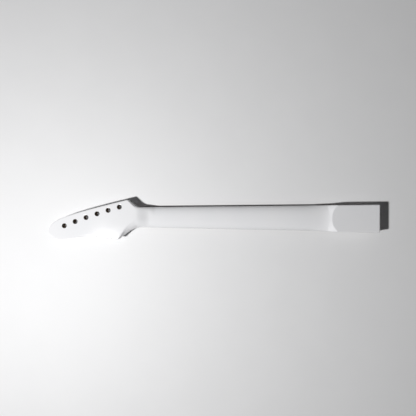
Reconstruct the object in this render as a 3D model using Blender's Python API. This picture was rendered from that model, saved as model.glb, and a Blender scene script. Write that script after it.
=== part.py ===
"""Bolt-on six-string guitar neck, lying face down.

Lengths are in metres and angles in degrees. X runs from the headstock to the heel, Y to the
bass side, where the tuners go, and Z out of the neck's back. Every shape is drawn from the
nut, with X = 0 at the nut's front face and Z = 0 at the flat back of headstock and heel. The
finished pieces are then moved along X, so that the world's origin is the middle of the heel pad.
"""

import math

import bmesh
import bpy
import numpy as np
from mathutils import Matrix, Vector

# Clearances
SEAT_GAP = 0.0003            # between a piece and its seat
SLOT_GAP = 0.0002            # on each side of a fret's tang

# Scale and frets
SCALE_LENGTH = 0.648
FRET_COUNT = 24
BOARD_OVERHANG = 0.006       # board beyond the last fret
CROWN_WIDTH = 0.0027
CROWN_HEIGHT = 0.0012
TANG_WIDTH = 0.0006
TANG_DEPTH = 0.0016
FRET_END_BEVEL = 0.0012      # how far in the bevel of a fret's end starts
FRET_END_INSET = 0.0004      # from the board's edge to the fret's end

# Fingerboard and nut
NUT_WIDTH = 0.043            # across the neck at the nut
HEEL_WIDTH = 0.058           # across the neck at its end
BOARD_THICKNESS = 0.006      # at the middle of the board
BOARD_RADIUS = 0.406         # crown of the face
BOARD_TAIL = 0.012           # board behind the nut's front face
TAIL_CURVE = 0.0045          # length of the curve at the tail's end
TAIL_EDGE = 0.001            # thickness left at the tail's end
NUT_THICKNESS = 0.0034
NUT_HEIGHT = 0.0024          # above the board's face
NUT_SEAT_DEPTH = 0.003       # depth of the slot that the nut sits in
STRING_COUNT = 6
STRING_SPREAD = 0.035        # outer string to outer string at the nut
STRING_SLOT_WIDTH = 0.0013
STRING_SLOT_DEPTH = 0.0009

# Position markers
DOT_FRETS = (3, 5, 7, 9, 12, 15, 17, 19, 21, 24)
OCTAVE = 12                  # frets to an octave
DOT_DIAMETER = 0.006
DOT_THICKNESS = 0.0015
DOT_PAIR_SPACING = 0.021     # across the board at the octaves
SIDE_DOT_DIAMETER = 0.002
SIDE_DOT_LENGTH = 0.0025
SIDE_PAIR_SPACING = 0.005    # along the board at the octaves

# Back of the neck
HEEL_THICKNESS = 0.0254      # back of the heel to the board's crown
SHAFT_THICKNESS_FIRST = 0.0195
SHAFT_THICKNESS_TWELFTH = 0.021
SHAFT_POWER = 2.2            # 2 is an ellipse, more is fuller shouldered
EDGE_ROUND = 0.0022
GLUE_EDGE_ROUND = 0.0004
PAD_LENGTH = 0.0992          # flat of the heel, along the middle
RAMP_LENGTH = 0.048          # scoop that climbs to the pad
RAMP_POWER = 4.5             # how late the scoop climbs
SIDES_SQUARE_FROM_END = 0.062
SIDE_SPREAD = 0.006          # how far the carved form outgrows the block at the pad
SPREAD_PAST_CREASE = 0.03    # where it does so in full
PAD_FULL_BEFORE_CREASE = 0.006
PAD_FULL_PAST_CREASE = 0.014

# Headstock
HEADSTOCK_THICKNESS = 0.0145
FACE_SCOOP_LENGTH = 0.014    # curve from the board's tail down to the headstock's face
BACK_DIP_LENGTH = 0.014      # half the length of the dip behind the nut
SHOULDER_LENGTH = 0.0345     # from the dip to the lower horn, along X
BACK_CLIMB_EVEN = 0.0042     # how far the carved form climbs over the shoulder's length
BACK_CLIMB_LATE = 0.025      # and how far more, nearly all of it at the horn
BASS_FULL_FROM = 0.013       # square bass shoulder, from this far behind the nut
BASS_FULL_TO = 0.026         # to this far beyond it
FACE_ROUND_FROM_NUT = 0.05   # where the headstock's face has its full edge round
TUNER_COUNT = 6
TUNER_SPACING = 0.024
TUNER_HOLE_DIAMETER = 0.010
TUNER_ROW_ANGLE = 19.05      # of the row to the neck's axis
TUNER_ROW_ARCH = 0.00175     # rise of the row's middle over its chord
FIRST_TUNER_FROM_NUT = 0.0471
FIRST_TUNER_FROM_AXIS = 0.0215
MARGIN_AT_FIRST = 0.0108     # first hole's centre to the upper edge
MARGIN_AT_LAST = 0.0172      # last hole's centre to the upper edge
CORNER_FROM_NUT = 0.0308     # upper corner
CORNER_FROM_AXIS = 0.0368
CORNER_RADIUS = 0.005
TIP_BEYOND_LAST = 0.0329     # tip beyond the last hole, along X
TIP_BELOW_LAST = 0.011
TIP_ROUND = 0.013
BUTT_FROM_TIP = 0.0235       # where the lower edge leaves the tip's round
BUTT_FROM_AXIS = 0.0447
WAIST_FROM_NUT = 0.1076      # highest point of the lower edge's hollow
WAIST_FROM_AXIS = 0.0392
HORN_FROM_NUT = 0.0486       # lower horn
HORN_FROM_AXIS = 0.0452
HORN_RADIUS = 0.0025
SHOULDER_END = 0.005         # where the outline meets the neck's straight edges

# Truss rod
ROD_DIAMETER = 0.0042
ROD_FROM_NUT = 0.003         # start of the bare rod
BAR_WIDTH = 0.0060
BAR_THICKNESS = 0.0025
BLOCK_WALL = 0.0008          # metal around the rod's bore
BLOCK_LENGTH = 0.012
ROD_ASSEMBLY_LENGTH = 0.432  # start of the rod to the far end of the anchor block
ADJUSTER_DIAMETER = 0.0064
ADJUSTER_LENGTH = 0.013
ADJUSTER_BORE_DEPTH = 0.005
SOCKET_FLATS = 0.004
SOCKET_DEPTH = 0.006
KEY_SLOT_LENGTH = 0.024      # open slot in the headstock's face, beyond the board's tail

# Facets
TOP_STEPS = 5                # back of a half section, middle to corner
CORNER_STEPS = 3
SIDE_STEPS = 2
FACE_CORNER_STEPS = 2
CURVE_STEPS = 40             # samples of each stretch of the outline
BOARD_FACETS = 13            # odd, so that no ridge runs through the dots' middles
SLOT_FACETS = 5
CLOSE_AT_HORN = 0.004        # close sections on either side of the horn
CLOSE_PAST_NUT = 0.028       # close sections beyond the nut
CLOSE_BEFORE_CREASE = 0.012
CLOSE_PAST_CREASE = 0.018
CUT_PAST = 0.001             # how far a pocket's cutter stands out of the surface

# Worked out from the sizes above
END_X = SCALE_LENGTH * (1 - 2 ** (-FRET_COUNT / OCTAVE)) + BOARD_OVERHANG
CREASE_X = END_X - PAD_LENGTH
PAD_MIDDLE_X = END_X - PAD_LENGTH / 2
FACE_Z = -HEEL_THICKNESS
GLUE_Z = FACE_Z + BOARD_THICKNESS
BLANK_BASE_Z = GLUE_Z + SEAT_GAP
CROWN_AXIS_Z = FACE_Z + BOARD_RADIUS
EDGE_HEADING = math.degrees(math.atan2((HEEL_WIDTH - NUT_WIDTH) / 2, END_X))
BAR_BASE_Z = GLUE_Z + SEAT_GAP
BLOCK_BASE_Z = BAR_BASE_Z + BAR_THICKNESS + SEAT_GAP
BLOCK_BORE_RADIUS = ROD_DIAMETER / 2 + SEAT_GAP
BLOCK_WIDTH = 2 * (BLOCK_BORE_RADIUS + BLOCK_WALL)
ROD_Z = BLOCK_BASE_Z + BLOCK_WIDTH / 2
FATTEST = max(BLOCK_WIDTH, ADJUSTER_DIAMETER, BAR_WIDTH)
CHANNEL_WIDTH = FATTEST + 2 * SEAT_GAP
CHANNEL_FLOOR_Z = ROD_Z + max(BLOCK_WIDTH, ADJUSTER_DIAMETER) / 2 + SEAT_GAP
ROD_END_X = ROD_FROM_NUT + ROD_ASSEMBLY_LENGTH


def clear_scene():
    """Empties the file of objects."""
    for item in list(bpy.data.objects):
        bpy.data.objects.remove(item, do_unlink=True)


def make_material(name, colour, roughness, metallic=0.0):
    """One plain finish."""
    material = bpy.data.materials.new(name)
    material.use_nodes = True
    shader = material.node_tree.nodes["Principled BSDF"]
    shader.inputs["Base Color"].default_value = (*colour, 1.0)
    shader.inputs["Roughness"].default_value = roughness
    shader.inputs["Metallic"].default_value = metallic
    return material


def add_object(name, mesh, material, x=0.0):
    """Places a mesh drawn around the nut's frame, x along the neck from its own zero."""
    item = bpy.data.objects.new(name, mesh)
    item.location.x = x - PAD_MIDDLE_X
    if not mesh.materials:
        mesh.materials.append(material)
    bpy.context.scene.collection.objects.link(item)
    return item


def add_cutter(name, mesh, target, x=0.0):
    """Cuts a shape out of a piece and keeps the cutter out of the model."""
    cutter = bpy.data.objects.new(name, mesh)
    cutter.location.x = x - PAD_MIDDLE_X
    cutter.hide_render = True
    cutter.display_type = "WIRE"
    bpy.context.scene.collection.objects.link(cutter)
    cut = target.modifiers.new(name, "BOOLEAN")
    cut.operation = "DIFFERENCE"
    cut.solver = "EXACT"
    cut.object = cutter
    return cutter


def mesh_from(shape, name, smooth_angle=None):
    """Turns a bmesh into a mesh, rounded where the faces meet at less than the angle."""
    bmesh.ops.recalc_face_normals(shape, faces=shape.faces)
    mesh = bpy.data.meshes.new(name)
    shape.to_mesh(mesh)
    shape.free()
    if smooth_angle is not None:
        mesh.shade_smooth()
        mesh.set_sharp_from_angle(angle=math.radians(smooth_angle))
    return mesh


def loft(rings, first_cap=True, last_cap=True):
    """Skins closed rings of points, and closes either end with a flat face."""
    shape = bmesh.new()
    rows = [[shape.verts.new(point) for point in ring] for ring in rings]
    for row, following in zip(rows, rows[1:]):
        for i in range(len(row)):
            j = (i + 1) % len(row)
            shape.faces.new((row[i], row[j], following[j], following[i]))
    if first_cap:
        shape.faces.new(list(reversed(rows[0])))
    if last_cap:
        shape.faces.new(rows[-1])
    bmesh.ops.remove_doubles(shape, verts=shape.verts, dist=1e-7)
    return shape


def ease(value, start, end):
    """Climbs smoothly from 0 at start to 1 at end."""
    share = min(1.0, max(0.0, (value - start) / (end - start)))
    return share * share * (3 - 2 * share)


def climb(value, start, end):
    """Climbs evenly from 0 at start to 1 at end."""
    return min(1.0, max(0.0, (value - start) / (end - start)))


def fret_x(number):
    """Distance of a fret from the nut."""
    return SCALE_LENGTH * (1 - 2 ** (-number / OCTAVE))


def half_width(x):
    """Half the width of the fingerboard."""
    return (NUT_WIDTH + (HEEL_WIDTH - NUT_WIDTH) * x / END_X) / 2


def heading(angle):
    """Unit vector along an angle from +X."""
    return Vector((math.cos(math.radians(angle)), math.sin(math.radians(angle))))


def tuner_centre(index):
    """Centre of a tuner hole, counted from the nut, on a slightly arched row."""
    row = -heading(TUNER_ROW_ANGLE)
    across = Vector((row.y, -row.x))
    share = index / (TUNER_COUNT - 1)
    start = Vector((-FIRST_TUNER_FROM_NUT, FIRST_TUNER_FROM_AXIS))
    return start + row * TUNER_SPACING * index + across * TUNER_ROW_ARCH * 4 * share * (1 - share)


LAST_TUNER = tuner_centre(TUNER_COUNT - 1)
TIP = Vector((LAST_TUNER.x - TIP_BEYOND_LAST, LAST_TUNER.y - TIP_BELOW_LAST))


def bend(start, start_heading, end, end_heading):
    """Points of a cubic curve that leaves and arrives along the given headings."""
    reach = (end - start).length / 3
    first = start + heading(start_heading) * reach
    second = end - heading(end_heading) * reach
    points = []
    for i in range(CURVE_STEPS):
        t = i / CURVE_STEPS
        u = 1 - t
        points.append(start * u**3 + first * 3 * u * u * t + second * 3 * u * t * t + end * t**3)
    return points


def corner_ends(corner, arriving, leaving, radius):
    """The two points where a round of this radius meets the corner's straight sides."""
    reach = radius * math.tan(math.radians(abs(leaving - arriving) / 2))
    return corner - heading(arriving) * reach, corner + heading(leaving) * reach


def bass_outline():
    """Upper edge seen from behind, from the tip to the heel's end."""
    across = heading(TUNER_ROW_ANGLE + 90)
    over_last = LAST_TUNER + across * MARGIN_AT_LAST
    corner = Vector((-CORNER_FROM_NUT, CORNER_FROM_AXIS))
    over_first = tuner_centre(0) + across * MARGIN_AT_FIRST
    run = corner - over_first
    arriving = math.degrees(math.atan2(run.y, run.x))
    leaving = -39
    first, second = corner_ends(corner, arriving, leaving, CORNER_RADIUS)
    neck = Vector((-SHOULDER_END, half_width(-SHOULDER_END)))
    points = bend(TIP, 90, over_last, TUNER_ROW_ANGLE + 1)
    points += bend(over_last, TUNER_ROW_ANGLE + 1, first, arriving)
    points += bend(first, arriving, second, leaving)
    points += bend(second, leaving, neck, EDGE_HEADING)
    return points + [neck, Vector((END_X, half_width(END_X)))]


def treble_outline():
    """Lower edge seen from behind, from the tip to the heel's end."""
    butt = Vector((TIP.x + BUTT_FROM_TIP, -BUTT_FROM_AXIS))
    waist = Vector((-WAIST_FROM_NUT, -WAIST_FROM_AXIS))
    horn = Vector((-HORN_FROM_NUT, -HORN_FROM_AXIS))
    arriving = -4
    leaving = 43
    first, second = corner_ends(horn, arriving, leaving, HORN_RADIUS)
    neck = Vector((-SHOULDER_END, -half_width(-SHOULDER_END)))
    points = bend(TIP, -90, butt, 0)
    points += bend(butt, 0, waist, 0)
    points += bend(waist, 0, first, arriving)
    points += bend(first, arriving, second, leaving)
    points += bend(second, leaving, neck, -EDGE_HEADING)
    return points + [neck, Vector((END_X, -half_width(END_X)))]


class Edge:
    """One edge of the plan: its place and outward direction at any distance along the neck."""

    def __init__(self, points, side):
        self.side = side
        self.x = np.array([point.x for point in points])
        self.y = np.array([point.y for point in points])
        run_x = np.gradient(self.x)
        run_y = np.gradient(self.y)
        length = np.hypot(run_x, run_y)
        self.out_x = -side * run_y / length
        self.out_y = side * run_x / length
        self.out_x[0] = -1.0
        self.out_y[0] = 0.0

    def place(self, x):
        """Point of the edge at x."""
        return Vector((x, float(np.interp(x, self.x, self.y))))

    def outward(self, x):
        """Direction out of the edge at x."""
        out_x = float(np.interp(x, self.x, self.out_x))
        out_y = float(np.interp(x, self.x, self.out_y))
        return Vector((out_x, out_y)).normalized()


def spine(x):
    """Middle of the plan: the neck's axis, led over to the tip's middle in the headstock."""
    last = TIP.x + TIP_ROUND
    return Vector((max(x, last), TIP.y * ease(-x, HORN_FROM_NUT, -last)))


def underside(x):
    """Height of the blank's base: glue plane, scoop behind the board's tail, headstock face."""
    drop = BLANK_BASE_Z + HEADSTOCK_THICKNESS
    scoop = climb(-x, BOARD_TAIL, BOARD_TAIL + FACE_SCOOP_LENGTH)
    return -HEADSTOCK_THICKNESS + drop * (1 - scoop) ** 2


def shaft_top(x):
    """Height of the shaft's back along the middle."""
    share = (x - fret_x(1)) / (fret_x(OCTAVE) - fret_x(1))
    growth = SHAFT_THICKNESS_TWELFTH - SHAFT_THICKNESS_FIRST
    return SHAFT_THICKNESS_FIRST + growth * share - HEEL_THICKNESS


def carved_top(x):
    """Height of the carved form along the middle. It passes above the back plane at both ends."""
    if x < -BACK_DIP_LENGTH:
        beyond = (-BACK_DIP_LENGTH - x) / SHOULDER_LENGTH
        return BACK_CLIMB_EVEN * beyond + BACK_CLIMB_LATE * beyond**6
    if x < BACK_DIP_LENGTH:
        return shaft_top(x) * ease(x, -BACK_DIP_LENGTH, BACK_DIP_LENGTH)
    start = CREASE_X - RAMP_LENGTH
    if x < start:
        return shaft_top(x)
    rise = -shaft_top(CREASE_X)
    share = (x - start) / RAMP_LENGTH
    if share < 1:
        return shaft_top(x) + rise * share**RAMP_POWER
    return rise * RAMP_POWER * (share - 1)


def fullness(x, side):
    """Exponent of the carved section: an arch in the shaft, squarer towards both ends."""
    power = SHAFT_POWER
    if side > 0:
        power += 7 * (1 - ease(x, -BASS_FULL_FROM, BASS_FULL_TO))
    middle = CREASE_X + PAD_FULL_PAST_CREASE
    power += 1.3 * climb(x, CREASE_X - PAD_FULL_BEFORE_CREASE, middle)
    return power + 9 * climb(x, middle, END_X - SIDES_SQUARE_FROM_END)


def spread(x):
    """How far the carved form's half width outgrows the plan near the heel."""
    return SIDE_SPREAD * ease(x, CREASE_X - RAMP_LENGTH, CREASE_X + SPREAD_PAST_CREASE)


def block_reach(angle, reach, height, radius):
    """Distance from the base's middle to a block with a rounded corner, along an angle."""
    cosine = math.cos(angle)
    sine = math.sin(angle)
    if angle >= math.atan2(height, reach - radius):
        return height / sine
    if angle <= math.atan2(height - radius, reach):
        return reach / cosine
    along = (reach - radius) * cosine + (height - radius) * sine
    square = (reach - radius) ** 2 + (height - radius) ** 2
    return along + math.sqrt(max(0.0, along * along - square + radius * radius))


def arch_reach(angle, reach, height, power):
    """Distance from the base's middle to a superellipse, along an angle."""
    across = (math.cos(angle) / reach) ** power
    upward = (math.sin(angle) / height) ** power
    return (across + upward) ** (-1 / power)


def section_angles(reach, height, radius):
    """Directions from the middle of the back down to the side, close together at the corner."""
    inner = math.atan2(height, reach - radius)
    outer = math.atan2(height - radius, reach)
    angles = [math.pi / 2 + (inner - math.pi / 2) * i / TOP_STEPS for i in range(TOP_STEPS)]
    angles += [inner + (outer - inner) * i / CORNER_STEPS for i in range(CORNER_STEPS)]
    return angles + [outer * (1 - i / SIDE_STEPS) for i in range(SIDE_STEPS + 1)]


def half_section(x, edge, shrink=0.0):
    """Points of one half of the section at x, from the middle of the back to that of the base.

    The back is the nearer of two forms along each direction from the base's middle: a block
    with rounded corners, and the carved form, which is a superellipse.
    """
    rounded = ease(-x, BOARD_TAIL, FACE_ROUND_FROM_NUT)
    face_round = GLUE_EDGE_ROUND + (EDGE_ROUND - GLUE_EDGE_ROUND) * rounded
    base = underside(x) + face_round
    height = -shrink - base
    place = edge.place(x)
    middle = spine(x)
    cross = place - middle
    reach = cross.length
    cross = cross / reach
    outward = edge.outward(x)
    carved = x > -HORN_FROM_NUT
    points = []

    def put(inset, z):
        turn = max(0.0, 1 - inset / (3 * EDGE_ROUND)) ** 2
        direction = outward * turn + cross * (1 - turn)
        spot = place - direction * inset
        points.append((spot.x, spot.y, z))

    for angle in section_angles(reach - shrink, height, EDGE_ROUND - shrink):
        distance = block_reach(angle, reach - shrink, height, EDGE_ROUND - shrink)
        if carved:
            arch_height = carved_top(x) - base
            arch = arch_reach(angle, reach + spread(x), arch_height, fullness(x, edge.side))
            distance = min(distance, arch)
        put(reach - distance * math.cos(angle), base + distance * math.sin(angle))
    for i in range(1, FACE_CORNER_STEPS + 1):
        angle = math.pi / 2 * i / FACE_CORNER_STEPS
        inset = shrink + face_round * (1 - math.cos(angle))
        put(inset, base - face_round * math.sin(angle))
    put(reach, base - face_round)
    return points


def section(x, bass, treble, shrink=0.0, place_x=None):
    """Closed ring of the whole section. A shrunk ring stands at place_x."""
    upper = half_section(x, bass, shrink)
    lower = half_section(x, treble, shrink)
    ring = upper + list(reversed(lower[1:-1]))
    if place_x is None:
        return ring
    return [(place_x, y, z) for _, y, z in ring]


def spaced(start, end, count):
    """Even steps from start, without the end."""
    return [start + (end - start) * i / count for i in range(count)]


def stations():
    """Distances along the neck where a section is drawn, close together where it changes."""
    round_end = TIP.x + 1.5 * TIP_ROUND
    places = [TIP.x + (round_end - TIP.x) * (1 - math.cos(math.pi / 2 * i / 8)) for i in range(8)]
    horn = -HORN_FROM_NUT
    places += spaced(round_end, horn - CLOSE_AT_HORN, 11)
    places += spaced(horn - CLOSE_AT_HORN, horn + CLOSE_AT_HORN, 7)
    places += spaced(horn + CLOSE_AT_HORN, 0.0, 18)
    places += spaced(0.0, CLOSE_PAST_NUT, 9)
    ramp = CREASE_X - RAMP_LENGTH
    places += spaced(CLOSE_PAST_NUT, ramp, 9)
    before = CREASE_X - CLOSE_BEFORE_CREASE
    past = CREASE_X + CLOSE_PAST_CREASE
    places += spaced(ramp, before, 7)
    places += spaced(before, past, 12)
    places += spaced(past, END_X - SIDES_SQUARE_FROM_END, 4)
    places += spaced(END_X - SIDES_SQUARE_FROM_END, END_X - EDGE_ROUND, 2)
    return places


def neck_blank_mesh():
    """Headstock, shaft and heel as one loft, rounded over at the heel's end."""
    bass = Edge(bass_outline(), 1)
    treble = Edge(treble_outline(), -1)
    rings = [section(x, bass, treble) for x in stations()]
    last = END_X - EDGE_ROUND
    for i in range(4):
        angle = math.pi / 2 * i / 3
        shrink = min(EDGE_ROUND * (1 - math.cos(angle)), 0.98 * EDGE_ROUND)
        rings.append(section(last, bass, treble, shrink, last + EDGE_ROUND * math.sin(angle)))
    return mesh_from(loft(rings, first_cap=False), "neck_blank", 40)


def hole_cutters_mesh():
    """Six cylinders through the headstock."""
    shape = bmesh.new()
    for index in range(TUNER_COUNT):
        centre = tuner_centre(index)
        bmesh.ops.create_cone(
            shape,
            cap_ends=True,
            segments=28,
            radius1=TUNER_HOLE_DIAMETER / 2,
            radius2=TUNER_HOLE_DIAMETER / 2,
            depth=2 * HEADSTOCK_THICKNESS,
            matrix=Matrix.Translation((centre.x, centre.y, -HEADSTOCK_THICKNESS / 2)),
        )
    return mesh_from(shape, "tuner_holes")


def slot_cutter_mesh():
    """Slot for the truss rod, open to the fingerboard side, with half round ends."""
    radius = CHANNEL_WIDTH / 2
    start = -BOARD_TAIL - KEY_SLOT_LENGTH + radius
    end = ROD_END_X + SEAT_GAP
    ring = []
    for i in range(9):
        angle = math.radians(90 + 180 * i / 8)
        ring.append((start + radius * math.cos(angle), radius * math.sin(angle)))
    ring += [(end, -radius), (end, radius)]
    floor = [(x, y, CHANNEL_FLOOR_Z) for x, y in ring]
    mouth = [(x, y, FACE_Z) for x, y in ring]
    return mesh_from(loft([floor, mouth]), "rod_slot")


def crown_point(x, rise, angle):
    """Point at a height out of the board's crowned face, at an angle around its axis."""
    radius = BOARD_RADIUS + rise
    return (x, radius * math.sin(angle), CROWN_AXIS_Z - radius * math.cos(angle))


def arched_bar(profiles, angles):
    """Bar across the board: one profile of (x, rise) points at each angle around the crown."""
    rings = []
    for profile, angle in zip(profiles, angles):
        rings.append([crown_point(x, rise, angle) for x, rise in profile])
    return loft(rings)


def crown_angle(half):
    """Angle around the crown's axis at this distance from the board's middle."""
    return math.asin(half / BOARD_RADIUS)


def board_ring(x, face_drop):
    """Section of the fingerboard: flat back, crowned face lowered by a drop."""
    half = half_width(x)
    ring = [(x, half, GLUE_Z), (x, -half, GLUE_Z)]
    reach = crown_angle(half)
    for i in range(BOARD_FACETS + 1):
        spot = crown_point(x, 0.0, -reach + 2 * reach * i / BOARD_FACETS)
        ring.append((x, spot[1], min(spot[2] + face_drop, GLUE_Z - TAIL_EDGE / 2)))
    return ring


def fingerboard_mesh():
    """Tapered board, its tail curved down behind the nut."""
    rings = []
    for i in range(6):
        angle = math.pi / 2 * i / 5
        x = -BOARD_TAIL + TAIL_CURVE * (1 - math.cos(angle))
        drop = (BOARD_THICKNESS - TAIL_EDGE) * (1 - math.sin(angle))
        rings.append(board_ring(x, drop))
    rings += [board_ring(END_X * i / 4, 0.0) for i in range(5)]
    return mesh_from(loft(rings), "fingerboard", 30)


def fret_half_width(number):
    """Half the length of a fret."""
    return half_width(fret_x(number)) - FRET_END_INSET


def crown_profile(height):
    """Section of a fret wire: domed crown over a square tang."""
    dome = []
    for i in range(7):
        angle = math.pi * i / 6
        rise = SEAT_GAP + height * math.sin(angle)
        dome.append((-CROWN_WIDTH / 2 * math.cos(angle), rise))
    tang = TANG_WIDTH / 2
    return dome + [(tang, SEAT_GAP), (tang, -TANG_DEPTH), (-tang, -TANG_DEPTH), (-tang, SEAT_GAP)]


def fret_mesh(number):
    """Fret wire bent to the board's crown, its ends bevelled."""
    end = crown_angle(fret_half_width(number))
    inner = crown_angle(fret_half_width(number) - FRET_END_BEVEL)
    angles = [-end] + [-inner + 2 * inner * i / 4 for i in range(5)] + [end]
    full = crown_profile(CROWN_HEIGHT)
    low = crown_profile(CROWN_HEIGHT / 3)
    profiles = [low] + [full] * 5 + [low]
    return mesh_from(arched_bar(profiles, angles), f"fret_{number:02d}", 30)


def slot_profile(width, depth):
    """Square slot that opens past the board's face."""
    half = width / 2
    clear = 2 * SEAT_GAP
    return [(-half, clear), (half, clear), (half, -depth), (-half, -depth)]


def shifted(profile, x):
    """Profile moved along the neck."""
    return [(x + step, rise) for step, rise in profile]


def board_slots_mesh():
    """Slots across the board for the frets and the nut."""
    shape = bmesh.new()
    cuts = []
    for number in range(1, FRET_COUNT + 1):
        tang_slot = slot_profile(TANG_WIDTH + 2 * SLOT_GAP, TANG_DEPTH + SEAT_GAP)
        cuts.append((fret_x(number), tang_slot))
    nut_slot = slot_profile(NUT_THICKNESS + 2 * SEAT_GAP, NUT_SEAT_DEPTH)
    cuts.append((-NUT_THICKNESS / 2, nut_slot))
    for x, profile in cuts:
        reach = 1.1 * crown_angle(half_width(x))
        angles = [-reach + 2 * reach * i / SLOT_FACETS for i in range(SLOT_FACETS + 1)]
        bar = arched_bar([shifted(profile, x)] * len(angles), angles)
        part = mesh_from(bar, "slot")
        shape.from_mesh(part)
        bpy.data.meshes.remove(part)
    return mesh_from(shape, "board_slots")


def marker_xs():
    """Middle of the space before each marked fret, and whether it has a pair of dots."""
    spots = []
    for number in DOT_FRETS:
        middle = (fret_x(number - 1) + fret_x(number)) / 2
        spots.append((number, middle, number % OCTAVE == 0))
    return spots


def face_dot_places():
    """Name, distance along the neck and angle around the crown of each face dot."""
    places = []
    for number, x, pair in marker_xs():
        if pair:
            angle = crown_angle(DOT_PAIR_SPACING / 2)
            places.append((f"dot_{number:02d}_bass", x, angle))
            places.append((f"dot_{number:02d}_treble", x, -angle))
        else:
            places.append((f"dot_{number:02d}", x, 0.0))
    return places


def side_dot_places():
    """Name and distance along the neck of each side dot."""
    places = []
    for number, x, pair in marker_xs():
        if pair:
            places.append((f"side_dot_{number:02d}_near", x - SIDE_PAIR_SPACING / 2))
            places.append((f"side_dot_{number:02d}_far", x + SIDE_PAIR_SPACING / 2))
        else:
            places.append((f"side_dot_{number:02d}", x))
    return places


def side_dot_z(x):
    """Middle of the board's edge."""
    edge_z = crown_point(x, 0.0, crown_angle(half_width(x)))[2]
    return (edge_z + GLUE_Z) / 2


def disc_mesh(name, radius, low, high, segments):
    """Round plug along Z."""
    shape = bmesh.new()
    bmesh.ops.create_cone(
        shape,
        cap_ends=True,
        segments=segments,
        radius1=radius,
        radius2=radius,
        depth=high - low,
        matrix=Matrix.Translation((0, 0, (low + high) / 2)),
    )
    return mesh_from(shape, name, 30)


def face_dot_frame(x, angle):
    """Placing of a face dot: local Z points out of the board's face."""
    turn = Matrix.Rotation(math.pi + angle, 4, "X")
    return Matrix.Translation(crown_point(x, 0.0, angle)) @ turn


def side_dot_frame(x):
    """Placing of a side dot: local Z points out of the board's bass edge."""
    turn = Matrix.Rotation(-math.pi / 2, 4, "X")
    swing = Matrix.Rotation(math.radians(EDGE_HEADING), 4, "Z")
    return Matrix.Translation((x, half_width(x), side_dot_z(x))) @ swing @ turn


def dot_pockets_mesh():
    """Pockets in the board for all dots."""
    shape = bmesh.new()
    face_depth = DOT_THICKNESS + SEAT_GAP
    pocket = disc_mesh("pocket", DOT_DIAMETER / 2 + SEAT_GAP, -face_depth, CUT_PAST, 16)
    side_depth = SIDE_DOT_LENGTH + SEAT_GAP
    side_pocket = disc_mesh("pocket", SIDE_DOT_DIAMETER / 2 + SEAT_GAP, -side_depth, CUT_PAST, 10)
    frames = [(pocket, face_dot_frame(x, angle)) for _, x, angle in face_dot_places()]
    frames += [(side_pocket, side_dot_frame(x)) for _, x in side_dot_places()]
    for source, frame in frames:
        part = source.copy()
        part.transform(frame)
        shape.from_mesh(part)
        bpy.data.meshes.remove(part)
    bpy.data.meshes.remove(pocket)
    bpy.data.meshes.remove(side_pocket)
    return mesh_from(shape, "dot_pockets")


def nut_mesh():
    """Bar across the board, rounded over towards the headstock."""
    half = NUT_THICKNESS / 2
    front = [(half, -NUT_SEAT_DEPTH + SEAT_GAP), (half, NUT_HEIGHT)]
    back = []
    for i in range(5):
        angle = math.pi / 2 * i / 4
        step = 0.4 * NUT_THICKNESS - 0.9 * NUT_THICKNESS * math.sin(angle)
        back.append((step, NUT_HEIGHT - 0.6 * NUT_HEIGHT * (1 - math.cos(angle))))
    profile = front + back + [(-half, -NUT_SEAT_DEPTH + SEAT_GAP)]
    end = crown_angle(half_width(0) - FRET_END_INSET)
    angles = [-end + 2 * end * i / 6 for i in range(7)]
    return mesh_from(arched_bar([profile] * 7, angles), "nut", 35)


def string_slots_mesh():
    """Six round-bottomed grooves over the nut."""
    shape = bmesh.new()
    turn = Matrix.Rotation(math.pi / 2, 4, "Y")
    for index in range(STRING_COUNT):
        y = -STRING_SPREAD / 2 + STRING_SPREAD * index / (STRING_COUNT - 1)
        x, side, z = crown_point(0.0, NUT_HEIGHT - STRING_SLOT_DEPTH, crown_angle(y))
        bmesh.ops.create_cone(
            shape,
            cap_ends=True,
            segments=8,
            radius1=STRING_SLOT_WIDTH / 2,
            radius2=STRING_SLOT_WIDTH / 2,
            depth=3 * NUT_THICKNESS,
            matrix=Matrix.Translation((x, side, z - STRING_SLOT_WIDTH / 2)) @ turn,
        )
    return mesh_from(shape, "string_slots")


def rod_part(name, rings, segments, material, parent):
    """Turned piece around the rod's axis from (x, radius) points that close on themselves."""
    shape = bmesh.new()
    verts = [shape.verts.new((x, 0.0, radius)) for x, radius in rings]
    edges = [shape.edges.new(pair) for pair in zip(verts, verts[1:])]
    bmesh.ops.spin(
        shape,
        geom=verts + edges,
        cent=(0, 0, 0),
        axis=(1, 0, 0),
        angle=math.tau,
        steps=segments,
    )
    bmesh.ops.remove_doubles(shape, verts=shape.verts, dist=1e-6)
    item = bpy.data.objects.new(name, mesh_from(shape, name, 35))
    item.data.materials.append(material)
    item.parent = parent
    bpy.context.scene.collection.objects.link(item)
    return item


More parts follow.
